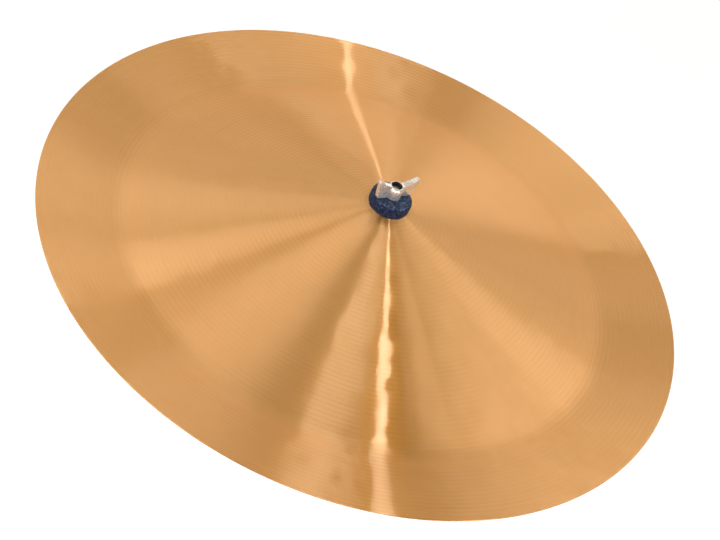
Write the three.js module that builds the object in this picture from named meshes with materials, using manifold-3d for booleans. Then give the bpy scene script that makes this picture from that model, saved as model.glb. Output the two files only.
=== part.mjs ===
// China cymbal on its mounting rod, with the felts, sleeve, cup washer and wing nut that hold it.
// Millimetres, +Z up along the rod. The origin is the centre of the rod's lower end.
import * as THREE from 'three';
import { mergeVertices } from 'three/addons/utils/BufferGeometryUtils.js';
import Module from 'manifold-3d';

const wasm = await Module();
wasm.setup();

// Clearances
const seatGap = 0.3;            // between a piece and what it rests on
const runningGap = 0.3;         // round the rod and round the sleeve, on the radius

// Cymbal plate, measured on the middle of its sheet
const cymbalDiameter = 508;     // a 20 inch plate
const foldDiameter = 392;       // where the cone turns up into the flange
const foldRadius = 33;          // bend radius of that fold
const hubAngle = 14.5;          // slope of the cone at the hole, degrees
const foldAngle = 12.3;         // slope of the cone where the fold begins, degrees
const flangeAngle = 13.6;       // upward slope of the flange, degrees
const holeDiameter = 12.5;
const hubThickness = 1.1;
const rimThickness = 0.65;

// Rod
const spigotDiameter = 9.5;
const spigotLength = 30;
const spigotChamfer = 0.8;
const shoulderDiameter = 18;
const shoulderHeight = 5;
const shoulderChamfer = 0.8;
const threadDiameter = 8;       // over the crests
const threadPitchDiameter = 7.2; // the plain cylinder that stands for the thread
const threadTipChamfer = 1;
const threadTipDepth = 2.4;     // from the top of the nut down to the tip of the rod

// Cup washer under the lower felt
const washerThickness = 1.6;
const cupWall = 1.4;
const cupHeight = 6.2;
const cupFillet = 1.2;

// Sleeve over the thread
const sleeveWall = 1;
const sleeveFootDiameter = 18;
const sleeveFootThickness = 1.6;

// Felts, their thickness taken at the outer edge
const lowerFeltDiameter = 32;
const lowerFeltThickness = 8;
const upperFeltDiameter = 32;
const upperFeltThickness = 10;
const feltTopRound = 2.6;
const feltFootRound = 1.4;
const feltDish = 0.8;           // how far the upper felt's top sinks towards its hole

// Wing nut
const bossDiameter = 12.6;
const bossHeight = 10.7;
const bossChamfer = 0.5;
const bossShoulderRadius = 5.1; // arc that draws the boss in at its top
const bossShoulderAngle = 45;   // how far that arc turns, degrees
const boreChamfer = 0.5;
const wingRootReach = 5.2;      // the wing starts inside the boss, clear of the bore
const wingRootHeight = 11;
const wingFootReach = 14.8;       // from the axis to the wing's lower corner
const wingFootHeight = 0.4;
const wingTipReach = 18.1;      // from the axis to the wing's upper corner, before its rounding
const wingTipHeight = 17.3;
const wingHollow = 0.6;         // sag of the wing's top edge between the boss and its tip
const wingTipRound = 1.1;
const wingHollowRound = 12;
const wingFootRound = 1.6;
const wingRootThickness = 4.2;
const wingTipThickness = 3.5;
const wingBevel = 0.5;
const wingAzimuth = 44;         // where the nut stands, degrees from +X towards +Y

// Facets
const cymbalSides = 96;
const turnedSides = 40;
const coneSteps = 6;
const foldSteps = 6;
const flangeSteps = 2;
const shoulderSteps = 4;
const roundSteps = 3;

// Sizes that follow
const cymbalRadius = cymbalDiameter / 2;
const holeRadius = holeDiameter / 2;
const threadRadius = threadPitchDiameter / 2;
const sleeveBoreRadius = threadDiameter / 2 + runningGap;
const sleeveRadius = sleeveBoreRadius + sleeveWall;
const feltHoleRadius = sleeveRadius + runningGap;
const nutBoreRadius = threadRadius + runningGap;
const cupInnerRadius = lowerFeltDiameter / 2 + runningGap;

const radians = THREE.MathUtils.degToRad;
const hubSlope = Math.tan(radians(hubAngle));
const foldSlope = Math.tan(radians(foldAngle));
const coneEndRadius = foldDiameter / 2 - foldRadius * Math.sin(radians(foldAngle));
const flangeStartRadius = foldDiameter / 2 + foldRadius * Math.sin(radians(flangeAngle));

// The cone's slope eases evenly from the hub to the fold. Heights are counted from its tip.
function coneHeight(radius) {
  return -hubSlope * radius + (hubSlope - foldSlope) * radius * radius / (2 * coneEndRadius);
}

function coneTilt(radius) {
  return -Math.atan(hubSlope - (hubSlope - foldSlope) * radius / coneEndRadius);
}

function sheetThickness(radius) {
  return hubThickness + (rimThickness - hubThickness) * radius / cymbalRadius;
}

function sheetTop(radius) {
  return coneHeight(radius) + sheetThickness(radius) / 2 / Math.cos(coneTilt(radius));
}

function sheetUnderside(radius) {
  return coneHeight(radius) - sheetThickness(radius) / 2 / Math.cos(coneTilt(radius));
}

// The stack on the rod, from the bottom up
const washerZ = spigotLength + shoulderHeight + seatGap;
const sleeveZ = washerZ + washerThickness + seatGap;
const lowerFeltZ = sleeveZ + sleeveFootThickness + seatGap;
const lowerFeltEdgeZ = lowerFeltZ + lowerFeltThickness;
const coneTipZ = lowerFeltEdgeZ + seatGap - sheetUnderside(lowerFeltDiameter / 2);
const upperFeltEdgeZ = coneTipZ + sheetTop(upperFeltDiameter / 2) + seatGap;
const upperFeltTopZ = upperFeltEdgeZ + upperFeltThickness;
const nutZ = upperFeltTopZ + seatGap;
const threadTipZ = nutZ + bossHeight - threadTipDepth;

// Points of an outline through corners of [across, up, radius]; radius zero keeps a corner sharp.
function roundedOutline(corners) {
  return corners.flatMap(([across, up, radius], i) => {
    const corner = new THREE.Vector2(across, up);
    if (radius === 0) return [corner];
    const back = new THREE.Vector2(...corners.at(i - 1)).sub(corner).normalize();
    const on = new THREE.Vector2(...corners[(i + 1) % corners.length]).sub(corner).normalize();
    return cornerArc(corner, back, on, radius);
  });
}

// Arc that touches both edges of a corner; back and on are unit vectors along them.
function cornerArc(corner, back, on, radius) {
  const halfAngle = Math.acos(back.dot(on)) / 2;
  const centre = back.clone().add(on).setLength(radius / Math.sin(halfAngle)).add(corner);
  const start = back.clone().setLength(radius / Math.tan(halfAngle)).add(corner);
  const turn = Math.sign(on.cross(back)) * (Math.PI - 2 * halfAngle);
  const points = [];
  for (let i = 0; i <= roundSteps; i += 1) {
    points.push(start.clone().rotateAround(centre, turn * i / roundSteps));
  }
  return points;
}

// Turns a section of [radius, height] points about Z. It runs outwards below and inwards above.
function turned(section, sides = turnedSides) {
  const geometry = new THREE.LatheGeometry(section, sides);
  geometry.rotateX(Math.PI / 2);
  return geometry;
}

function turnedRing(corners) {
  const outline = roundedOutline(corners);
  return turned([...outline, outline[0].clone()]);
}

function toSolid(geometry) {
  const bare = geometry.clone();
  bare.deleteAttribute('normal');
  bare.deleteAttribute('uv');
  const merged = mergeVertices(bare);
  return new wasm.Manifold(new wasm.Mesh({
    numProp: 3,
    vertProperties: Float32Array.from(merged.attributes.position.array),
    triVerts: Uint32Array.from(merged.index.array),
  }));
}

function toGeometry(solid) {
  const mesh = solid.getMesh();
  const geometry = new THREE.BufferGeometry();
  geometry.setAttribute('position', new THREE.BufferAttribute(mesh.vertProperties, mesh.numProp));
  geometry.setIndex(new THREE.BufferAttribute(mesh.triVerts, 1));
  geometry.computeVertexNormals();
  return geometry;
}

// The line along the middle of the sheet: the cone, the fold's arc and the straight flange.
function sheetStations() {
  const stations = [];
  for (let i = 0; i < coneSteps; i += 1) {
    const radius = THREE.MathUtils.lerp(holeRadius, coneEndRadius, i / coneSteps);
    stations.push({ radius, height: coneHeight(radius), tilt: coneTilt(radius) });
  }
  const startTilt = -radians(foldAngle);
  const arcTop = coneHeight(coneEndRadius) + foldRadius * Math.cos(startTilt);
  for (let i = 0; i <= foldSteps; i += 1) {
    const tilt = THREE.MathUtils.lerp(startTilt, radians(flangeAngle), i / foldSteps);
    stations.push({
      radius: foldDiameter / 2 + foldRadius * Math.sin(tilt),
      height: arcTop - foldRadius * Math.cos(tilt),
      tilt,
    });
  }
  const arcEnd = stations.at(-1);
  const rimStation = cymbalRadius - rimThickness / 2 * Math.cos(arcEnd.tilt);
  for (let i = 1; i <= flangeSteps; i += 1) {
    const radius = THREE.MathUtils.lerp(flangeStartRadius, rimStation, i / flangeSteps);
    const height = arcEnd.height + (radius - arcEnd.radius) * Math.tan(arcEnd.tilt);
    stations.push({ radius, height, tilt: arcEnd.tilt });
  }
  return stations;
}

// Plate of tapering thickness, with a rounded rim and a plain hole.
function cymbalGeometry() {
  const stations = sheetStations();
  const face = side => stations.map(({ radius, height, tilt }) => {
    const offset = side * sheetThickness(radius) / 2;
    return new THREE.Vector2(radius - offset * Math.sin(tilt), height + offset * Math.cos(tilt));
  });
  const underside = face(-1);
  const top = face(1).reverse();
  const { radius, height, tilt } = stations.at(-1);
  const edge = new THREE.Vector2(
    radius + rimThickness / 2 * Math.cos(tilt),
    height + rimThickness / 2 * Math.sin(tilt),
  );
  return turned([...underside, edge, ...top, underside[0].clone()], cymbalSides);
}

// Plain spigot below, a turned shoulder, and the threaded end above.
function rodGeometry() {
  const spigotRadius = spigotDiameter / 2;
  const shoulderRadius = shoulderDiameter / 2;
  const shoulderTop = spigotLength + shoulderHeight;
  const section = [
    [0, 0],
    [spigotRadius - spigotChamfer, 0],
    [spigotRadius, spigotChamfer],
    [spigotRadius, spigotLength],
    [shoulderRadius - shoulderChamfer, spigotLength],
    [shoulderRadius, spigotLength + shoulderChamfer],
    [shoulderRadius, shoulderTop - shoulderChamfer],
    [shoulderRadius - shoulderChamfer, shoulderTop],
    [threadRadius, shoulderTop],
    [threadRadius, threadTipZ - threadTipChamfer],
    [threadRadius - threadTipChamfer, threadTipZ],
    [0, threadTipZ],
  ];
  return turned(section.map(([radius, height]) => new THREE.Vector2(radius, height)));
}

// Pressed cup: a flat bottom on the shoulder and a low wall round the felt.
function washerGeometry() {
  const inner = cupInnerRadius;
  const outer = inner + cupWall;
  const lipRound = cupWall / 2;
  return turnedRing([
    [threadRadius + runningGap, 0, 0],
    [outer, 0, cupFillet + cupWall],
    [outer, cupHeight, lipRound],
    [inner, cupHeight, lipRound],
    [inner, washerThickness, cupFillet],
    [threadRadius + runningGap, washerThickness, 0],
  ]);
}

function sleeveGeometry() {
  const footRound = sleeveFootThickness / 4;
  const sleeveLength = upperFeltTopZ - sleeveZ;
  return turnedRing([
    [sleeveBoreRadius, 0, 0],
    [sleeveFootDiameter / 2, 0, footRound],
    [sleeveFootDiameter / 2, sleeveFootThickness, footRound],
    [sleeveRadius, sleeveFootThickness, 0],
    [sleeveRadius, sleeveLength, sleeveWall / 2],
    [sleeveBoreRadius, sleeveLength, 0],
  ]);
}

// Felts are measured from the cone's tip, and take the slope of the plate that they bear on.
function lowerFeltGeometry() {
  const edge = lowerFeltDiameter / 2;
  const bottom = lowerFeltZ - coneTipZ;
  return turnedRing([
    [feltHoleRadius, bottom, 0],
    [edge, bottom, feltFootRound],
    [edge, sheetUnderside(edge) - seatGap, feltTopRound],
    [feltHoleRadius, sheetUnderside(feltHoleRadius) - seatGap, 0],
  ]);
}

function upperFeltGeometry() {
  const edge = upperFeltDiameter / 2;
  const top = upperFeltTopZ - coneTipZ;
  return turnedRing([
    [feltHoleRadius, sheetTop(feltHoleRadius) + seatGap, 0],
    [edge, sheetTop(edge) + seatGap, feltFootRound],
    [edge, top, feltTopRound],
    [feltHoleRadius, top - feltDish, 0],
  ]);
}

// Boss of the nut with its bore: straight below, drawn in by an arc at the top.
function bossGeometry() {
  const bossRadius = bossDiameter / 2;
  const arcHeight = bossShoulderRadius * Math.sin(radians(bossShoulderAngle));
  const section = [
    [nutBoreRadius, boreChamfer],
    [nutBoreRadius + boreChamfer, 0],
    [bossRadius - bossChamfer, 0],
    [bossRadius, bossChamfer],
  ];
  for (let i = 0; i <= shoulderSteps; i += 1) {
    const turn = radians(bossShoulderAngle) * i / shoulderSteps;
    section.push([
      bossRadius - bossShoulderRadius * (1 - Math.cos(turn)),
      bossHeight - arcHeight + bossShoulderRadius * Math.sin(turn),
    ]);
  }
  section.push([nutBoreRadius + boreChamfer, bossHeight]);
  section.push([nutBoreRadius, bossHeight - boreChamfer]);
  section.push(section[0]);
  return turned(section.map(([radius, height]) => new THREE.Vector2(radius, height)));
}

// One wing: its outline stands up from the boss, and the cast plate thins towards its tip.
function wingGeometry() {
  const middleReach = (wingRootReach + wingTipReach) / 2;
  const middleHeight = (wingRootHeight + wingTipHeight) / 2 - wingHollow;
  const outline = roundedOutline([
    [wingRootReach, wingFootHeight, 0],
    [wingFootReach, wingFootHeight, wingFootRound],
    [wingTipReach, wingTipHeight, wingTipRound],
    [middleReach, middleHeight, wingHollowRound],
    [wingRootReach, wingRootHeight, 0],
  ]);
  const plate = new THREE.ExtrudeGeometry(new THREE.Shape(outline), {
    depth: wingRootThickness - 2 * wingBevel,
    bevelThickness: wingBevel,
    bevelSize: wingBevel,
    bevelOffset: -wingBevel,
    bevelSegments: 2,
  });
  plate.translate(0, 0, wingBevel - wingRootThickness / 2);
  plate.rotateX(Math.PI / 2);
  const places = plate.attributes.position;
  for (let i = 0; i < places.count; i += 1) {
    const along = (places.getX(i) - wingRootReach) / (wingTipReach - wingRootReach);
    const thickness = THREE.MathUtils.lerp(wingRootThickness, wingTipThickness, along);
    places.setY(i, places.getY(i) * thickness / wingRootThickness);
  }
  return plate;
}

function wingNutGeometry() {
  const wing = wingGeometry();
  const rightWing = toSolid(wing);
  const leftWing = toSolid(wing.rotateZ(Math.PI));
  return toGeometry(toSolid(bossGeometry()).add(rightWing).add(leftWing));
}

function material(color, roughness, metalness) {
  return new THREE.MeshStandardMaterial({ color, roughness, metalness });
}

const bronze = material(0xd79d5e, 0.3, 1);
const plating = material(0xc9c6c2, 0.15, 1);
const steel = material(0xa9abae, 0.35, 1);
const nylon = material(0x17171a, 0.5, 0);
const blueFelt = material(0x2b3563, 0.95, 0);

const cymbalAssembly = new THREE.Group();

function place(name, geometry, finish, z, azimuth = 0) {
  const piece = new THREE.Mesh(geometry, finish);
  piece.name = name;
  piece.position.z = z;
  piece.rotation.z = azimuth;
  cymbalAssembly.add(piece);
}

place('stud', rodGeometry(), steel, 0);
place('seat_washer', washerGeometry(), steel, washerZ);
place('sleeve', sleeveGeometry(), nylon, sleeveZ);
place('lower_felt', lowerFeltGeometry(), blueFelt, coneTipZ);
place('cymbal', cymbalGeometry(), bronze, coneTipZ);
place('upper_felt', upperFeltGeometry(), blueFelt, coneTipZ);
place('wing_nut', wingNutGeometry(), plating, nutZ, radians(wingAzimuth));

export default cymbalAssembly;
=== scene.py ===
import math
import random

import bmesh
import bpy
import numpy as np
from mathutils import Matrix, Vector, noise


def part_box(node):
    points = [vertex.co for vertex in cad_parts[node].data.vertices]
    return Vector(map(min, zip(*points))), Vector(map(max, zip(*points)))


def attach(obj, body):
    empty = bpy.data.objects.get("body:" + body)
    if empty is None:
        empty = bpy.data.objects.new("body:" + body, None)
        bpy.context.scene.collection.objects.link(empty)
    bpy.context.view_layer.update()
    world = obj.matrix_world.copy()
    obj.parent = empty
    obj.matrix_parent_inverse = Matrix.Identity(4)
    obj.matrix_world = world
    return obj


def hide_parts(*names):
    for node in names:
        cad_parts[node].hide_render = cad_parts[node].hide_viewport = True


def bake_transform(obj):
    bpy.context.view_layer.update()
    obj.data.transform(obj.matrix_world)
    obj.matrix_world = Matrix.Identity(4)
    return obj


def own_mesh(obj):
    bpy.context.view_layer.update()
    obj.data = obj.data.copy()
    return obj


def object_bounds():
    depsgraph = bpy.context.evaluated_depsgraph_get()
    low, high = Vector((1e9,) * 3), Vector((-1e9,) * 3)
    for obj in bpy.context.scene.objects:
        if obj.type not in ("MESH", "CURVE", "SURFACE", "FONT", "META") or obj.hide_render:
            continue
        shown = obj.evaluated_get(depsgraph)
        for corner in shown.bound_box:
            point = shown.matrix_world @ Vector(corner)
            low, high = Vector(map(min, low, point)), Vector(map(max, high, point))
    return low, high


# China cymbal on its rod, with its felts, sleeve, cup washer and wing nut.
# Metres, +Z up along the rod.
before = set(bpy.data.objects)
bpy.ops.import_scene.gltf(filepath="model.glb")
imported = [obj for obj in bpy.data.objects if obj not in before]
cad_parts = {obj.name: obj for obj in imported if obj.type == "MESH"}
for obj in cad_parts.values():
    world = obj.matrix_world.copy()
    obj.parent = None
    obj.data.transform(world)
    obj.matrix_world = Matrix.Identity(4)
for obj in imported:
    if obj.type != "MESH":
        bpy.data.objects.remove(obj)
cad_low, cad_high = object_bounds()

MM = 0.001
rng = np.random.default_rng(352)

# Plate, measured on the middle of its sheet
cymbal_radius = 254 * MM
fold_place = 196 * MM            # radius at which the cone turns up into the flange
fold_radius = 33 * MM
hub_angle = math.radians(14.5)
fold_angle = math.radians(12.3)
flange_angle = math.radians(13.6)
hole_radius = 6.25 * MM
hub_thickness = 1.1 * MM
rim_thickness = 0.65 * MM
plate_sides = 400
top_rings = 190
underside_rings = 44

# Hammering and lathe work on the plate
hammer_waves = 70
hammer_wavelengths = (10 * MM, 36 * MM)
hammer_slope = 0.008             # rms slope of the hammered relief
groove_pitch = 3.5 * MM
groove_slope = 0.045             # how far a groove's flanks lean in and out
chatter_slope = 0.024            # how far a groove's floor leans along itself
mottle_depth = 0.012 * MM
groove_wander = 0.5              # how far a groove strays from its circle, in pitches
chatter_change = 0.6             # how much of the chatter changes from one groove to the next
chatter_circle = 12              # radius of a groove in the chatter's noise: some 75 marks round it
lathed_roughness = 0.40          # of the matt cut
polish_roughness = 0.20          # of the polish on its crests
polish_spread = -0.91            # the nearer to -1, the longer and thinner the polish's streaks
polish_share = (0.39, 0.48)      # in a groove's floor and on its crest
polish_tint = 0.85               # how far the polish goes from the bronze's colour to its own
polish_colour = (0.98, 0.75, 0.50)
quarter_turn = 0.25              # of the highlight, so that it runs across the grooves
dents = (                        # radius, azimuth in degrees, width and depth of small marks
    # Their places were worked out from their pixels in the photo.
    (196 * MM, 169, 5 * MM, 0.10 * MM),
    (195 * MM, 161, 3 * MM, 0.10 * MM),
    (164 * MM, 204, 3 * MM, 0.10 * MM),
    (46 * MM, 44, 2.5 * MM, 0.08 * MM),
)

# Rod and thread
spigot_radius = 4.75 * MM
neck_radius = 4.5 * MM
shoulder_radius = 9.0 * MM
thread_pitch = 1.25 * MM
thread_major = 4.0 * MM
thread_minor = 3.23 * MM
nut_thread_clearance = 0.12 * MM
thread_sides = 48
thread_steps_per_turn = 12

# Felts
felt_hole = 5.7 * MM
leaning_felt_hole = 6.3 * MM     # wider, as the lower felt leans and stays clear of the sleeve
felt_edge = 16 * MM
felt_sides = 160
felt_lump = 0.30 * MM
felt_lump_scale = 260
felt_touch = 0.12 * MM           # left between a felt and what it lies on
pressed_radius = 7.2 * MM        # within it the nut has pressed the upper felt flat
pressed_rise = 0.35 * MM         # how far the rest may stand above that
fibre_radius = 0.045 * MM
fibre_length = (0.5 * MM, 1.6 * MM)
fibre_taper = ((0, 1.0), (0.4, 0.9), (0.75, 0.7), (1, 0.3))     # place along it and thickness there
fibre_free_radius = 6.6 * MM     # no fibres within it, round the hole
fibre_count = 5200

# Wing nut, in its own axes with the wings along X
boss_radius = 6.3 * MM
boss_height = 10.7 * MM
boss_shoulder_radius = 5.1 * MM
boss_shoulder_turn = math.radians(45)
boss_shoulder_steps = 12
bore_radius = 4.25 * MM
wing_corners = (                 # across, up and rounding of the wing's outline
    (5.0 * MM, 0.4 * MM, 0),
    (14.8 * MM, 0.4 * MM, 1.6 * MM),
    (18.1 * MM, 17.3 * MM, 1.1 * MM),
    (11.65 * MM, 13.5 * MM, 12 * MM),
    (5.0 * MM, 11.0 * MM, 0),
)
wing_root_thickness = 4.2 * MM
wing_tip_thickness = 3.5 * MM
wing_azimuth = math.radians(44)
casting_voxel = 0.24 * MM
casting_smoothing = 5

# Camera of the photograph, solved from the rim's ellipse by least squares
image_width = 720
focal_length_pixels = 1144
sensor_width = 36
camera_back = 679.9 * MM
camera_above_rim = 562.2 * MM
camera_yaw = math.radians(0.148)
camera_pitch = math.radians(41.595)
camera_roll = math.radians(25.268)

# Studio: azimuth from +X towards +Y, elevation, span in azimuth and height in degrees, radiance.
# All but top_front and the strips follow a numerical fit to the photo, rounded or changed later.
lights = {
    "low_back": (88, 8, 40, 18, 6),
    "low_left": (236, 8, 60, 18, 16),
    "low_front": (284, 8, 30, 18, 26),
    "low_right": (324, 8, 20, 18, 34),
    "back": (56, 26, 76, 22, 5),
    "back_left": (130, 26, 76, 22, 4.5),
    "high_right": (12, 44, 90, 20, 9.5),
    "high_left": (152, 44, 64, 20, 5.5),
    "high_front": (210, 44, 92, 18, 16),
    "top_front": (280, 62, 8, 18, 9),
    "top_back": (102, 62, 36, 18, 8),
    "wide_strip": (81.3, 62, 6, 18, 31),
    "strip": (335, 67, 2, 4, 980),
}
light_distance = 1.6
narrowest_softbox = 12           # degrees; what spans less is a strip with straight edges
brightness = 0.74
world_low = (0.35, 0.315, 0.18)  # at the horizon and below it
world_high = (0.34, 0.31, 0.18)  # overhead
lamp_colour = (0.98, 1.0, 1.03)
floor_drop = 1.6
floor_size = 14.0
floor_glow = 0.93
backdrop_sides, backdrop_rings = 96, 16


# Meshes

def mesh_object(name, points, faces, smooth=True):
    mesh = bpy.data.meshes.new(name)
    mesh.from_pydata(np.asarray(points, float).reshape(-1, 3).tolist(), [], faces)
    mesh.update()
    if smooth:
        mesh.polygons.foreach_set("use_smooth", [True] * len(mesh.polygons))
    made = bpy.data.objects.new(name, mesh)
    bpy.context.scene.collection.objects.link(made)
    return made


def grid_faces(rows, columns, rows_closed=False):
    """Quads of a grid whose columns close on themselves.

    Row by row they face out of a turned section."""
    row = np.arange(rows if rows_closed else rows - 1)
    column = np.arange(columns)
    r, c = np.meshgrid(row, column, indexing="ij")
    next_row = (r + 1) % rows
    next_column = (c + 1) % columns
    corners = (r, c), (r, next_column), (next_row, next_column), (next_row, c)
    return np.stack([a * columns + b for a, b in corners], -1).reshape(-1, 4).tolist()


def ring_points(section, sides):
    """Points of a section of (radius, height) pairs at each side round Z, as [row, side, 3]."""
    section = np.asarray(section, float)
    turn = np.arange(sides) * 2 * math.pi / sides
    across = section[:, 0, None]
    up = np.repeat(section[:, 1, None], sides, 1)
    return np.stack([across * np.cos(turn), across * np.sin(turn), up], -1)


def turned(name, section, sides, closed=True):
    """Turned solid, whose section runs outwards below and inwards above.

    A section that isn't closed ends on the axis."""
    points = ring_points(section, sides)
    made = mesh_object(name, points, grid_faces(len(section), sides, closed))
    if not closed:
        weld(made)
    return made


def weld(obj, distance=1e-7):
    shape = bmesh.new()
    shape.from_mesh(obj.data)
    bmesh.ops.remove_doubles(shape, verts=shape.verts, dist=distance)
    shape.to_mesh(obj.data)
    shape.free()


def rounded_outline(corners, steps=6):
    """Points of an outline through corners of (across, up, radius); radius zero keeps one sharp."""
    points = []
    for i, (across, up, radius) in enumerate(corners):
        corner = Vector((across, up))
        if radius == 0:
            points.append(corner)
            continue
        back = (Vector(corners[i - 1][:2]) - corner).normalized()
        on = (Vector(corners[(i + 1) % len(corners)][:2]) - corner).normalized()
        half = math.acos(max(-1, min(1, back.dot(on)))) / 2
        centre = corner + (back + on).normalized() * (radius / math.sin(half))
        start = corner + back * (radius / math.tan(half)) - centre
        turn = math.copysign(math.pi - 2 * half, on.cross(back))
        points += [centre + Matrix.Rotation(turn * k / steps, 2) @ start for k in range(steps + 1)]
    return [(p.x, p.y) for p in points]


def split_long(section, longest):
    """Adds points along a closed section's long edges."""
    points = []
    for i, (across, up) in enumerate(section):
        next_across, next_up = section[(i + 1) % len(section)]
        parts = max(1, math.ceil(math.hypot(next_across - across, next_up - up) / longest))
        points += [
            (across + (next_across - across) * k / parts, up + (next_up - up) * k / parts)
            for k in range(parts)
        ]
    return points


def joined(parts):
    """One object of several, under the first one's name."""
    bpy.ops.object.select_all(action="DESELECT")
    for part in parts:
        part.select_set(True)
    bpy.context.view_layer.objects.active = parts[0]
    bpy.ops.object.join()
    return parts[0]


def apply_modifiers(obj):
    graph = bpy.context.evaluated_depsgraph_get()
    graph.update()
    mesh = bpy.data.meshes.new_from_object(obj.evaluated_get(graph))
    obj.modifiers.clear()
    obj.data = mesh
    mesh.name = obj.name


# Materials

class Finish:
    """A material with a Principled surface, and short calls that add nodes to it."""

    def __init__(self, name, **sockets):
        self.material = bpy.data.materials.new(name)
        self.material.use_nodes = True
        self.tree = self.material.node_tree
        self.surface = self.tree.nodes["Principled BSDF"]
        self.fill(self.surface, sockets)

    def fill(self, made, sockets):
        for name, value in sockets.items():
            socket = made.inputs[name.replace("_", " ")]
            if isinstance(value, bpy.types.NodeSocket):
                self.tree.links.new(value, socket)
            else:
                socket.default_value = value

    def node(self, kind, settings=None, **sockets):
        made = self.tree.nodes.new("ShaderNode" + kind)
        for name, value in (settings or {}).items():
            setattr(made, name, value)
        self.fill(made, sockets)
        return made

    def set(self, **sockets):
        self.fill(self.surface, sockets)

    def top(self, share, shader):
        """Lays a share of another shader over the surface."""
        blend = self.node("MixShader", Fac=share)
        output = self.tree.nodes["Material Output"]
        self.tree.links.new(self.surface.outputs[0], blend.inputs[1])
        self.tree.links.new(shader.outputs[0], blend.inputs[2])
        self.tree.links.new(blend.outputs[0], output.inputs["Surface"])

    def place(self):
        return self.node("TexCoord").outputs["Object"]

    def math(self, operation, *values):
        made = self.node("Math", {"operation": operation})
        for socket, value in zip(made.inputs, values):
            if isinstance(value, bpy.types.NodeSocket):
                self.tree.links.new(value, socket)
            else:
                socket.default_value = value
        return made.outputs[0]

    def vector(self, operation, first, second=None):
        made = self.node("VectorMath", {"operation": operation})
        self.tree.links.new(first, made.inputs[0])
        partner = made.inputs["Scale"] if operation == "SCALE" else made.inputs[1]
        if isinstance(second, bpy.types.NodeSocket):
            self.tree.links.new(second, partner)
        elif second is not None:
            partner.default_value = second
        return made.outputs["Value" if operation == "LENGTH" else "Vector"]

    def radius(self, place):
        return self.vector("LENGTH", self.vector("MULTIPLY", place, (1, 1, 0)))

    def noise(self, vector, scale, detail=2.0, roughness=0.5, distortion=0.0):
        return self.node(
            "TexNoise", Vector=vector, Scale=scale, Detail=detail, Roughness=roughness,
            Distortion=distortion,
        ).outputs["Fac"]

    def noise_along(self, value, scale, detail=2.0, roughness=0.5):
        return self.node(
            "TexNoise", {"noise_dimensions": "1D"}, W=value, Scale=scale, Detail=detail,
            Roughness=roughness,
        ).outputs["Fac"]

    def ramp(self, share, *stops):
        made = self.node("ValToRGB", Fac=share)
        while len(made.color_ramp.elements) < len(stops):
            made.color_ramp.elements.new(0.5)
        for element, (at, colour) in zip(made.color_ramp.elements, stops):
            element.position = at
            element.color = (*colour, 1)
        return made.outputs["Color"]

    def mix(self, share, first, second):
        made = self.node("MixRGB", Fac=share)
        for socket, value in zip(made.inputs[1:], (first, second)):
            if isinstance(value, bpy.types.NodeSocket):
                self.tree.links.new(value, socket)
            else:
                socket.default_value = (*value, 1)
        return made.outputs["Color"]

    def map(self, value, low, high, to_low, to_high):
        return self.node(
            "MapRange", {"clamp": True}, Value=value, From_Min=low, From_Max=high,
            To_Min=to_low, To_Max=to_high,
        ).outputs["Result"]

    def bump(self, height, distance):
        made = self.node("Bump", Height=height, Distance=distance, Strength=1.0)
        return made.outputs["Normal"]


def bronze_finish():
    """Lathed bronze. Its grooves run round the axis: the cut spreads light in and out and hardly
    along itself, and the polish on the crests spreads it less along itself and is paler."""
    finish = Finish(
        "lathed_bronze", Metallic=1.0, Anisotropic=1.0, Anisotropic_Rotation=quarter_turn,
    )
    place = finish.place()
    outwards = finish.vector("NORMALIZE", finish.vector("MULTIPLY", place, (1, 1, 0)))
    wander = finish.math("MULTIPLY", finish.noise(place, 11.0, 2.0), groove_wander * groove_pitch)
    radius = finish.math("ADD", finish.radius(place), wander)
    tone = finish.noise(place, 9.0, 4.0, 0.55)
    grain = finish.noise(place, 260.0, 3.0, 0.6)
    bands = finish.noise_along(radius, 45.0, 2.0)
    uneven = finish.noise_along(radius, 0.35 / groove_pitch, 2.0)
    wave = finish.math("SINE", finish.math("MULTIPLY", radius, 2 * math.pi / groove_pitch))
    wave = finish.math("MULTIPLY", wave, finish.map(uneven, 0.3, 0.7, 0.5, 1.2))
    colour = finish.ramp(tone, (0.30, (0.86, 0.325, 0.035)), (0.70, (0.93, 0.365, 0.050)))
    colour = finish.mix(finish.map(bands, 0.35, 0.7, 0.0, 0.12), colour, (0.80, 0.30, 0.045))
    colour = finish.mix(finish.map(grain, 0.62, 0.80, 0.0, 0.20), colour, (0.60, 0.24, 0.05))

    step_out = finish.math("MULTIPLY", radius, chatter_change / groove_pitch)
    track = finish.node("CombineXYZ", Z=step_out).outputs[0]
    round_track = finish.vector("MULTIPLY", outwards, (chatter_circle, chatter_circle, 0))
    track = finish.vector("ADD", track, round_track)
    chatter = finish.math("SUBTRACT", finish.noise(track, 1.0, 2.0, 0.6), 0.5)
    around = finish.vector("CROSS_PRODUCT", outwards, (0, 0, 1))
    lean = finish.vector(
        "ADD", finish.vector("SCALE", outwards, finish.math("MULTIPLY", wave, groove_slope)),
        finish.vector("SCALE", around, finish.math("MULTIPLY", chatter, chatter_slope)),
    )
    to_world = {"convert_from": "OBJECT", "convert_to": "WORLD"}
    turn = finish.node("VectorTransform", to_world, Vector=lean)
    mottled = finish.bump(finish.noise(place, 120.0, 2.0), mottle_depth)
    normal = finish.vector("NORMALIZE", finish.vector("SUBTRACT", mottled, turn.outputs["Vector"]))
    tangent = finish.node("Tangent", {"direction_type": "RADIAL", "axis": "Z"}).outputs[0]
    finish.set(Base_Color=colour, Roughness=lathed_roughness, Tangent=tangent, Normal=normal)
    polish = finish.node(
        "BsdfAnisotropic", Color=finish.mix(polish_tint, colour, polish_colour),
        Roughness=polish_roughness, Anisotropy=polish_spread, Rotation=quarter_turn,
        Normal=normal, Tangent=tangent,
    )
    finish.top(finish.map(wave, -1.0, 1.0, *polish_share), polish)
    return finish.material


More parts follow.
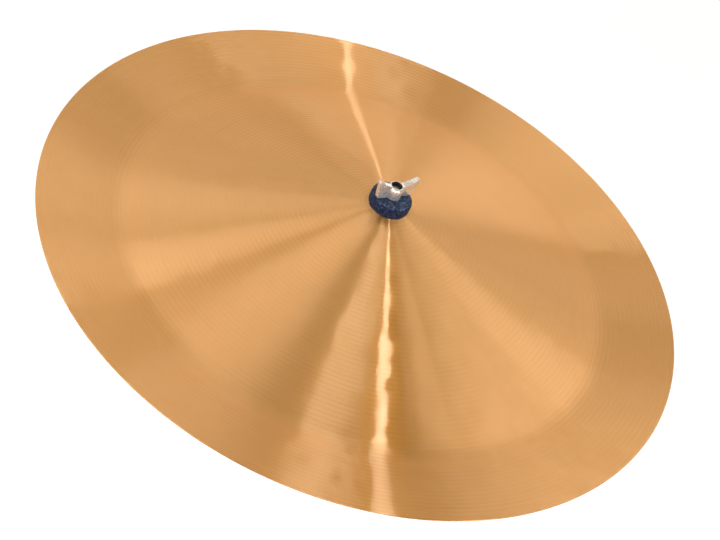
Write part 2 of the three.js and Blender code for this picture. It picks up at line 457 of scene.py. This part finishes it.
def plating_finish():
    """Nickel on a zinc die casting: bright under a pale haze, uneven, and grey in its pits."""
    finish = Finish("nickel_plating", Metallic=0.70, Specular_IOR_Level=0.5)
    place = finish.place()
    film = finish.noise(place, 160.0, 3.0)
    specks = finish.noise(place, 900.0, 2.0, 0.6)
    colour = finish.ramp(film, (0.3, (0.76, 0.73, 0.74)), (0.7, (0.84, 0.81, 0.82)))
    colour = finish.mix(finish.map(specks, 0.66, 0.80, 0.0, 0.25), colour, (0.45, 0.44, 0.43))
    rough = finish.map(film, 0.3, 0.7, 0.20, 0.32)
    normal = finish.bump(finish.noise(place, 420.0, 2.0), 0.02 * MM)
    finish.set(Base_Color=colour, Roughness=rough, Normal=normal)
    return finish.material


def steel_finish(name, tone, roughness):
    """Turned steel under a thin zinc coat: rings round the axis and a mottled film."""
    finish = Finish(name, Metallic=1.0)
    place = finish.place()
    height = finish.node("SeparateXYZ", Vector=place).outputs["Z"]
    turned_height = finish.math("ADD", height, finish.radius(place))
    rings = finish.noise_along(turned_height, 3200.0, 2.0)
    film = finish.noise(place, 220.0, 3.0)
    dark = tuple(0.72 * c for c in tone)
    colour = finish.ramp(film, (0.3, dark), (0.65, tone))
    colour = finish.mix(finish.map(rings, 0.45, 0.75, 0.0, 0.3), colour, dark)
    rough = finish.map(rings, 0.3, 0.7, roughness - 0.05, roughness + 0.08)
    finish.set(Base_Color=colour, Roughness=rough, Normal=finish.bump(rings, 0.02 * MM))
    return finish.material


def nylon_finish():
    finish = Finish("black_nylon", Specular_IOR_Level=0.45)
    place = finish.place()
    scuffs = finish.noise(place, 700.0, 4.0, 0.6)
    colour = finish.ramp(scuffs, (0.4, (0.012, 0.012, 0.014)), (0.75, (0.045, 0.045, 0.050)))
    rough = finish.map(scuffs, 0.3, 0.7, 0.38, 0.55)
    finish.set(Base_Color=colour, Roughness=rough, Normal=finish.bump(scuffs, 0.03 * MM))
    return finish.material


def felt_finish():
    """Pressed wool: navy with paler and darker tufts, and a painted highlight that greys what faces
    up, as if lit from above.
    """
    finish = Finish(
        "pressed_felt", Roughness=0.95, Sheen_Weight=0.12, Sheen_Roughness=0.5,
        Sheen_Tint=(0.60, 0.68, 1.0, 1), Specular_IOR_Level=0.15,
    )
    place = finish.place()
    tufts = finish.noise(place, 520.0, 3.0, 0.65)
    clouds = finish.noise(place, 150.0, 2.0)
    strands = finish.noise(place, 2600.0, 2.0, 0.7, 1.5)
    facing = finish.node("NewGeometry").outputs["True Normal"]
    rise = finish.node("SeparateXYZ", Vector=facing).outputs["Z"]
    colour = finish.ramp(
        tufts, (0.36, (0.003, 0.005, 0.018)), (0.50, (0.011, 0.019, 0.062)),
        (0.60, (0.024, 0.039, 0.115)), (0.72, (0.10, 0.13, 0.27)),
    )
    # Painted light: what faces up is paler and greyer, as if lit from above.
    lit_top_colour = finish.ramp(
        tufts, (0.36, (0.010, 0.018, 0.055)), (0.50, (0.055, 0.085, 0.170)),
        (0.60, (0.11, 0.155, 0.26)), (0.72, (0.26, 0.31, 0.42)),
    )
    colour = finish.mix(finish.map(rise, 0.45, 0.95, 0.0, 0.85), colour, lit_top_colour)
    colour = finish.mix(finish.map(clouds, 0.42, 0.66, 0.0, 0.55), colour, (0.008, 0.013, 0.045))
    colour = finish.mix(finish.map(strands, 0.58, 0.75, 0.0, 0.35), colour, (0.12, 0.155, 0.29))
    height = finish.math("ADD", tufts, finish.math("MULTIPLY", strands, 0.4))
    finish.set(Base_Color=colour, Normal=finish.bump(height, 0.5 * MM))
    return finish.material


def fibre_finish():
    finish = Finish("felt_fibres", Roughness=0.9, Sheen_Weight=0.15, Specular_IOR_Level=0.2)
    tone = finish.noise(finish.place(), 900.0, 1.0)
    colour = finish.ramp(tone, (0.40, (0.006, 0.010, 0.036)), (0.62, (0.05, 0.072, 0.15)))
    finish.set(Base_Color=colour)
    return finish.material


# Plate

hub_slope = math.tan(hub_angle)
fold_slope = math.tan(fold_angle)
flange_slope = math.tan(flange_angle)
cone_end = fold_place - fold_radius * math.sin(fold_angle)
flange_start = fold_place + fold_radius * math.sin(flange_angle)


def cone_height(radius):
    return -hub_slope * radius + (hub_slope - fold_slope) * radius**2 / (2 * cone_end)


arc_top = cone_height(cone_end) + fold_radius * math.cos(fold_angle)
flange_foot = arc_top - fold_radius * math.cos(flange_angle)


def sheet_line(radius):
    """Height, counted from the cone's tip, and tilt of the middle of the sheet."""
    radius = np.asarray(radius, float)
    cone_tilt = -np.arctan(hub_slope - (hub_slope - fold_slope) * radius / cone_end)
    arc_tilt = np.arcsin(np.clip((radius - fold_place) / fold_radius, -1, 1))
    arc = arc_top - fold_radius * np.cos(arc_tilt)
    flange = flange_foot + (radius - flange_start) * flange_slope
    zones = [radius < cone_end, radius < flange_start]
    height = np.select(zones, [cone_height(radius), arc], flange)
    tilt = np.select(zones, [cone_tilt, arc_tilt], flange_angle + 0 * radius)
    return height, tilt


def sheet_thickness(radius):
    return hub_thickness + (rim_thickness - hub_thickness) * radius / cymbal_radius


# The cone's tip is above the plate's highest point, which is the top edge of its hole.
hole_line, hole_tilt = sheet_line(hole_radius)
hole_edge = hub_thickness / 2 * math.cos(float(hole_tilt))
tip_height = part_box("cymbal")[1].z - float(hole_line) - hole_edge
rim_height = tip_height + float(sheet_line(cymbal_radius)[0])


def hammering(x, y):
    """Depth of the hammered relief: many shallow waves that run all ways."""
    relief = np.zeros_like(x)
    lengths = np.exp(rng.uniform(*np.log(hammer_wavelengths), hammer_waves))
    headings = rng.uniform(0, 2 * math.pi, hammer_waves)
    phases = rng.uniform(0, 2 * math.pi, hammer_waves)
    for length, heading, phase in zip(lengths, headings, phases):
        number = 2 * math.pi / length
        depth = hammer_slope * math.sqrt(2 / hammer_waves) / number
        relief += depth * np.sin(number * (x * math.cos(heading) + y * math.sin(heading)) + phase)
    for radius, azimuth, width, depth in dents:
        from_x = x - radius * math.cos(math.radians(azimuth))
        from_y = y - radius * math.sin(math.radians(azimuth))
        relief -= depth * np.exp(-(from_x**2 + from_y**2) / (width / 2) ** 2)
    return relief


def plate_piece():
    """The plate: both faces of its tapering sheet, the rounded rim and the eased edge of the hole."""
    rim_centre = cymbal_radius - rim_thickness / 2 * math.cos(flange_angle)
    ease = 0.25 * MM
    rows = []
    for radius in np.linspace(hole_radius + ease, rim_centre, underside_rings):
        rows.append((radius, -1.0, 0.0))
    for turn in np.radians((-60, -30, 0, 30, 60)):
        rows.append((rim_centre, math.sin(turn), math.cos(turn) * rim_thickness / 2))
    for radius in np.linspace(rim_centre, hole_radius + ease, top_rings):
        rows.append((radius, 1.0, 0.0))
    for side in (0.5, -0.5):
        rows.append((hole_radius, side, 0.0))
    radius, side, beyond = np.array(rows).T
    height, tilt = sheet_line(radius)
    offset = side * sheet_thickness(radius) / 2
    across = radius + beyond * np.cos(tilt) - offset * np.sin(tilt)
    up = tip_height + height + beyond * np.sin(tilt) + offset * np.cos(tilt)
    points = ring_points(np.stack([across, up], -1), plate_sides)
    relief = hammering(points[..., 0], points[..., 1])
    points[..., 2] += relief
    inside = np.hypot(points[..., 0], points[..., 1])
    points[..., :2] *= np.minimum(1, cymbal_radius / inside)[..., None]
    plate = mesh_object("cymbal_plate", points, grid_faces(len(rows), plate_sides, True))
    plate.data.materials.append(bronze_finish())
    return plate


# Rod, washer and sleeve

def thread_depth(turns):
    """Share of the thread's depth at a place along it: 60 degree flanks, flat crests and roots."""
    place = np.mod(turns, 1.0)
    ridge = np.abs(place - 0.5) * 2
    return np.clip((ridge - 0.2) / 0.6, 0, 1)


def threaded_rows(low, high):
    rows = max(2, round((high - low) / thread_pitch * thread_steps_per_turn))
    return np.linspace(low, high, rows)


def rod_piece():
    """Plain spigot and turned shoulder below, and the thread cut above them."""
    low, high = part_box("stud")
    spigot_top = 30 * MM
    shoulder_top = 35 * MM
    tip_chamfer = 0.9 * MM
    plain = [
        (0, 0), (spigot_radius - 0.8 * MM, 0), (spigot_radius - 0.15 * MM, 0.55 * MM),
        (spigot_radius, 0.8 * MM), (spigot_radius, spigot_top - 1.2 * MM),
        (neck_radius, spigot_top - 0.9 * MM), (neck_radius, spigot_top),
        (shoulder_radius - 0.8 * MM, spigot_top),
        (shoulder_radius - 0.25 * MM, spigot_top + 0.25 * MM),
        (shoulder_radius, spigot_top + 0.8 * MM), (shoulder_radius, shoulder_top - 0.8 * MM),
        (shoulder_radius - 0.25 * MM, shoulder_top - 0.25 * MM),
        (shoulder_radius - 0.8 * MM, shoulder_top),
    ]
    plain = [(r, low.z + z) for r, z in plain]
    heights = threaded_rows(low.z + shoulder_top, high.z)
    section = plain + [(thread_major, z) for z in heights] + [(0, high.z)]
    points = ring_points(section, thread_sides)
    turn = np.arange(thread_sides) / thread_sides
    threaded = slice(len(plain), len(plain) + len(heights))
    cut = thread_depth(heights[:, None] / thread_pitch - turn[None, :])
    radius = thread_major - (thread_major - thread_minor) * cut
    tip = thread_major - np.clip(heights - (high.z - tip_chamfer), 0, None)[:, None]
    radius = np.minimum(radius, tip)
    angle = turn * 2 * math.pi
    points[threaded, :, 0] = radius * np.cos(angle)
    points[threaded, :, 1] = radius * np.sin(angle)
    rod = mesh_object("threaded_rod", points, grid_faces(len(section), thread_sides))
    weld(rod)
    rod.data.materials.append(steel_finish("zinc_steel", (0.36, 0.34, 0.32), 0.38))
    return rod


def washer_piece():
    """Pressed cup washer, with a flat floor rounded into its wall."""
    low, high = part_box("seat_washer")
    outer = high.x
    inner = outer - 1.4 * MM
    bore = 4.2 * MM
    floor = 1.6 * MM
    tall = high.z - low.z
    lip = 0.69 * MM
    outline = rounded_outline([
        (bore, 0, 0.3 * MM), (outer, 0, 2.6 * MM), (outer, tall, lip), (inner, tall, lip),
        (inner, floor, 1.2 * MM), (bore, floor, 0.3 * MM),
    ])
    section = [(r, low.z + z) for r, z in split_long(outline, 0.8 * MM)]
    washer = turned("cup_washer", section, 128)
    washer.data.materials.append(steel_finish("pressed_steel", (0.60, 0.61, 0.62), 0.34))
    return washer


def sleeve_piece():
    """Moulded sleeve with a flanged foot and a small lead-in at its top."""
    low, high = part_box("sleeve")
    bore = 4.3 * MM
    wall = 5.3 * MM
    foot = high.x
    foot_height = 1.6 * MM
    tall = high.z - low.z
    outline = rounded_outline([
        (bore, 0, 0.25 * MM), (foot, 0, 0.4 * MM), (foot, foot_height, 0.4 * MM),
        (wall, foot_height, 0.5 * MM), (wall, tall, 0.45 * MM), (bore, tall, 0.3 * MM),
    ], 4)
    section = [(r, low.z + z) for r, z in split_long(outline, 1.2 * MM)]
    sleeve = turned("nylon_sleeve", section, 96)
    sleeve.data.materials.append(nylon_finish())
    return sleeve


# Felts

def fibres(name, base, seed):
    """Short loose fibres that stand out of a felt's skin, each a thin three-sided strand."""
    chooser = random.Random(seed)
    mesh = base.data
    polygons = [
        p for p in mesh.polygons if math.hypot(p.center.x, p.center.y) > fibre_free_radius
    ]
    areas = np.cumsum([p.area for p in polygons])
    points, faces = [], []
    for _ in range(fibre_count):
        polygon = polygons[int(np.searchsorted(areas, chooser.uniform(0, areas[-1])))]
        corners = [mesh.vertices[v].co for v in polygon.vertices]
        across, up = chooser.random(), chooser.random()
        root = corners[0].lerp(corners[1], across).lerp(corners[-1].lerp(corners[-2], across), up)
        normal = polygon.normal
        side = normal.cross(Vector([chooser.gauss(0, 1) for _ in range(3)])).normalized()
        heading = (side + normal * chooser.uniform(0.05, 0.45)).normalized()
        length = chooser.uniform(*fibre_length)
        bend = normal.cross(side) * chooser.uniform(-0.6, 0.6) - normal * 0.25
        first = len(points)
        for step, thickness in fibre_taper:
            middle = root + heading * (length * step) + bend * (length * step * step)
            for k in range(3):
                turn = 2 * math.pi * k / 3
                spoke = side.cross(normal) * math.cos(turn) + normal * math.sin(turn)
                points.append(middle + spoke * (fibre_radius * thickness))
        last = first + 3 * (len(fibre_taper) - 1)
        for start in range(first, last, 3):
            for k in range(3):
                n = (k + 1) % 3
                faces.append((start + k, start + n, start + 3 + n, start + 3 + k))
        faces.append((first, first + 2, first + 1))
        faces.append((last, last + 1, last + 2))
    made = mesh_object(name, [tuple(p) for p in points], faces)
    made.data.materials.append(fibre_finish())
    return made


def felt_piece(name, outline, seed, lowest, highest):
    """A felt disc: a rounded ring with a lumpy skin and fibres on it.

    It keeps off what lies on either side."""
    section = split_long(outline, 0.55 * MM)
    felt = turned(name, section, felt_sides)
    shift = Vector((seed * 1.7, seed * 0.3, 0))
    for vertex in felt.data.vertices:
        edge = math.hypot(vertex.co.x, vertex.co.y)
        share = min(1.0, max(0.0, (edge - felt_hole) / (3 * MM)))
        lump = noise.fractal(vertex.co * felt_lump_scale + shift, 0.6, 2.1, 3)
        vertex.co += vertex.normal * (felt_lump * share * lump)
        edge = math.hypot(vertex.co.x, vertex.co.y)
        vertex.co.z = min(max(vertex.co.z, lowest(edge)), highest(edge))
    felt.data.update()
    felt.data.materials.append(felt_finish())
    strands = fibres(name + "_fibres", felt, seed)
    return joined([felt, strands])


def face_height(radius, side):
    """Height of the plate's upper or lower face at a radius."""
    height, tilt = sheet_line(radius)
    return tip_height + float(height) + side * sheet_thickness(radius) / 2 / math.cos(float(tilt))


def lower_felt_piece():
    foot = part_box("lower_felt")[0].z

    def highest(radius):
        return face_height(radius, -1) - felt_touch

    return felt_piece("lower_felt_pad", rounded_outline([
        (leaning_felt_hole, foot, 0.8 * MM), (felt_edge, foot, 1.6 * MM),
        (felt_edge, highest(felt_edge), 2.2 * MM),
        (leaning_felt_hole, highest(leaning_felt_hole), 0.8 * MM),
    ]), 11, lambda radius: foot, highest)


def upper_felt_piece():
    """The felt that shows. The nut has pressed its middle flat, and the rest stands up round it."""
    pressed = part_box("wing_nut")[0].z - felt_touch

    def lowest(radius):
        return face_height(radius, 1) + felt_touch

    def highest(radius):
        return pressed if radius < pressed_radius else pressed + pressed_rise

    return felt_piece("upper_felt_pad", rounded_outline([
        (felt_hole, lowest(felt_hole), 0.8 * MM), (felt_edge, lowest(felt_edge), 1.8 * MM),
        (felt_edge, pressed - 0.5 * MM, 1.4 * MM), (13.2 * MM, pressed + 0.25 * MM, 3 * MM),
        (8.6 * MM, pressed + 0.1 * MM, 2 * MM), (pressed_radius, pressed, 0),
        (felt_hole, pressed, 0),
    ]), 23, lowest, highest)


# Wing nut

def boss_shape():
    """The boss without its bore: straight below, drawn in by an arc at the top."""
    arc_height = boss_shoulder_radius * math.sin(boss_shoulder_turn)
    section = [(0, 0), (boss_radius - 0.5 * MM, 0), (boss_radius, 0.5 * MM)]
    for i in range(boss_shoulder_steps + 1):
        turn = boss_shoulder_turn * i / boss_shoulder_steps
        section.append((
            boss_radius - boss_shoulder_radius * (1 - math.cos(turn)),
            boss_height - arc_height + boss_shoulder_radius * math.sin(turn),
        ))
    section.append((0, boss_height))
    return turned("boss", section, 96, False)


def wing_shape(turn):
    """One wing: its outline stands in the XZ plane, and the plate thins towards its tip."""
    outline = rounded_outline(wing_corners)
    root, tip = wing_corners[0][0], wing_corners[2][0]
    points = []
    for side in (-0.5, 0.5):
        for across, up in outline:
            along = (across - root) / (tip - root)
            thickness = wing_root_thickness + (wing_tip_thickness - wing_root_thickness) * along
            points.append((across, side * thickness, up))
    count = len(outline)
    faces = [tuple(range(count)), tuple(range(2 * count - 1, count - 1, -1))]
    for i in range(count):
        after = (i + 1) % count
        faces.append((after, i, count + i, count + after))
    wing = mesh_object("wing", points, faces, False)
    wing.data.transform(Matrix.Rotation(turn, 4, "Z"))
    return wing


def bore_shape():
    """What the bore takes out of the casting, with a countersink at each end."""
    sink = 0.5 * MM
    beyond = 1 * MM
    section = [
        (0, -beyond), (bore_radius + sink + beyond, -beyond), (bore_radius, sink),
        (bore_radius, boss_height - sink), (bore_radius + sink + beyond, boss_height + beyond),
        (0, boss_height + beyond),
    ]
    return turned("bore", section, 96, False)


def nut_thread(base):
    """The tapped thread: a ring with a helical ridge that runs between those of the rod."""
    inset = 0.35 * MM
    sunk = 0.15 * MM
    heights = threaded_rows(base + inset, base + boss_height - inset)
    outer = bore_radius + sunk
    inner_rows = heights[::-1]
    section = [(outer, z) for z in heights] + [(thread_minor, z) for z in inner_rows]
    points = ring_points(section, thread_sides)
    turn = np.arange(thread_sides) / thread_sides
    cut = thread_depth(inner_rows[:, None] / thread_pitch - turn[None, :])
    major = thread_major + nut_thread_clearance
    radius = major - (major - thread_minor - nut_thread_clearance) * cut
    ends = np.minimum(inner_rows - heights[0], heights[-1] - inner_rows)[:, None]
    radius = np.maximum(radius, bore_radius - ends)
    angle = turn * 2 * math.pi
    inner = slice(len(heights), None)
    points[inner, :, 0] = radius * np.cos(angle)
    points[inner, :, 1] = radius * np.sin(angle)
    return mesh_object("nut_thread", points, grid_faces(len(section), thread_sides, True))


def wing_nut_piece():
    """The die casting: boss and wings run into each other with soft fillets."""
    low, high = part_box("wing_nut")
    casting = joined([boss_shape(), wing_shape(0), wing_shape(math.pi)])
    casting.name = casting.data.name = "wing_nut_casting"
    remesh = casting.modifiers.new("fuse", "REMESH")
    remesh.mode = "VOXEL"
    remesh.voxel_size = casting_voxel
    soften = casting.modifiers.new("soften", "SMOOTH")
    soften.factor = 0.5
    soften.iterations = casting_smoothing
    apply_modifiers(casting)
    bore = bore_shape()
    cut = casting.modifiers.new("bore", "BOOLEAN")
    cut.object = bore
    cut.operation = "DIFFERENCE"
    cut.solver = "EXACT"
    apply_modifiers(casting)
    bpy.data.objects.remove(bore)
    casting.data.transform(Matrix.Rotation(wing_azimuth, 4, "Z"))
    casting.data.transform(Matrix.Translation((0, 0, low.z)))
    casting.data.polygons.foreach_set("use_smooth", [True] * len(casting.data.polygons))
    casting.data.materials.clear()
    casting.data.materials.append(plating_finish())
    thread = nut_thread(low.z)
    # The tapped thread is painted near black: painted shade inside the bore.
    thread.data.materials.append(steel_finish("tapped_zinc_in_painted_shade", (0.06, 0.045, 0.035), 0.5))
    return casting, thread


# Camera, lights and floor

def camera_matrix(place, yaw, pitch, roll):
    """Camera axes: yaw from +Y towards +X, pitch below the horizon, roll about its view."""
    level = math.cos(pitch)
    heading = Vector((math.sin(yaw) * level, math.cos(yaw) * level, -math.sin(pitch)))
    level_right = heading.cross(Vector((0, 0, 1))).normalized()
    level_up = level_right.cross(heading)
    right = level_right * math.cos(roll) + level_up * math.sin(roll)
    up = level_up * math.cos(roll) - level_right * math.sin(roll)
    axes = Matrix((right, up, -heading)).transposed().to_4x4()
    return Matrix.Translation(place) @ axes


def make_camera():
    data = bpy.data.cameras.new("photo_camera")
    data.sensor_width = sensor_width
    data.lens = sensor_width * focal_length_pixels / image_width
    data.clip_start = 0.01
    data.clip_end = 50
    camera = bpy.data.objects.new("photo_camera", data)
    bpy.context.scene.collection.objects.link(camera)
    place = Vector((0, -camera_back, rim_height + camera_above_rim))
    camera.matrix_world = camera_matrix(place, camera_yaw, camera_pitch, camera_roll)
    bpy.context.scene.camera = camera


def make_light(name, azimuth, elevation, span, height, radiance):
    """A softbox at that direction from the plate, sized by the azimuths and the height it spans."""
    across = 2 * light_distance * math.tan(math.radians(span / 2))
    data = bpy.data.lights.new(name, "AREA")
    data.shape = "ELLIPSE" if span > narrowest_softbox else "RECTANGLE"
    data.size = across * math.cos(math.radians(elevation))
    data.size_y = 2 * light_distance * math.tan(math.radians(height / 2))
    area = data.size * data.size_y * (math.pi / 4 if data.shape == "ELLIPSE" else 1)
    data.energy = brightness * radiance * area * math.pi / 4
    data.color = lamp_colour
    light = bpy.data.objects.new(name, data)
    bpy.context.scene.collection.objects.link(light)
    turn, rise = math.radians(azimuth), math.radians(elevation)
    level = math.cos(rise)
    towards = Vector((math.cos(turn) * level, math.sin(turn) * level, math.sin(rise)))
    light.location = towards * light_distance + Vector((0, 0, rim_height))
    light.rotation_mode = "QUATERNION"
    light.rotation_quaternion = towards.to_track_quat("Z", "Y")


def make_world():
    """A dim warm surround that the bronze mirrors."""
    world = bpy.data.worlds.new("studio")
    bpy.context.scene.world = world
    world.use_nodes = True
    tree = world.node_tree
    background = tree.nodes["Background"]
    place = tree.nodes.new("ShaderNodeTexCoord")
    parts = tree.nodes.new("ShaderNodeSeparateXYZ")
    shade = tree.nodes.new("ShaderNodeValToRGB")
    tree.links.new(place.outputs["Generated"], parts.inputs["Vector"])
    tree.links.new(parts.outputs["Z"], shade.inputs["Fac"])
    for stop, colour in zip(shade.color_ramp.elements, (world_low, world_high)):
        stop.color = (*colour, 1)
    tree.links.new(shade.outputs["Color"], background.inputs["Color"])


def make_floor():
    """A plain pale floor well below the plate, and a pale dome over it.

    Both are faintly lit from within, so that no hard shadow lies on the floor. The dome is there for
    the camera alone, so it changes no light and no reflection."""
    half = floor_size / 2
    height = cad_low.z - floor_drop
    corners = [
        (-half, -half, height), (half, -half, height), (half, half, height), (-half, half, height),
    ]
    floor = mesh_object("floor", corners, [(0, 1, 2, 3)], False)
    rises = [math.pi / 2 * ring / backdrop_rings for ring in range(backdrop_rings + 1)]
    section = [(half * math.cos(rise), height + half * math.sin(rise)) for rise in rises]
    dome = turned("backdrop", section, backdrop_sides, False)
    dome.visible_diffuse = dome.visible_glossy = dome.visible_shadow = False
    finish = Finish(
        "pale_floor", Base_Color=(0.30, 0.30, 0.30, 1), Roughness=0.9, Specular_IOR_Level=0.1,
        Emission_Color=(1, 1, 1, 1), Emission_Strength=floor_glow,
    )
    for stage in (floor, dome):
        stage.data.materials.append(finish.material)


make_camera()
for light_name, placing in lights.items():
    make_light(light_name, *placing)
make_world()
make_floor()
bpy.context.scene.view_settings.view_transform = "Standard"

plate = plate_piece()
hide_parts("cymbal")
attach(plate, "plate")

rod = rod_piece()
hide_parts("stud")
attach(rod, "rod")

washer = washer_piece()
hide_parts("seat_washer")
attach(washer, "rod")

sleeve = sleeve_piece()
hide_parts("sleeve")
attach(sleeve, "rod")

lower_felt = lower_felt_piece()
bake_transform(lower_felt)
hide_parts("lower_felt")

upper_felt = upper_felt_piece()
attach(upper_felt, "upper_felt")
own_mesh(upper_felt)
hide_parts("upper_felt")

wing_nut, tapped_thread = wing_nut_piece()
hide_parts("wing_nut")
for nut_piece in (wing_nut, tapped_thread):
    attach(nut_piece, "nut")
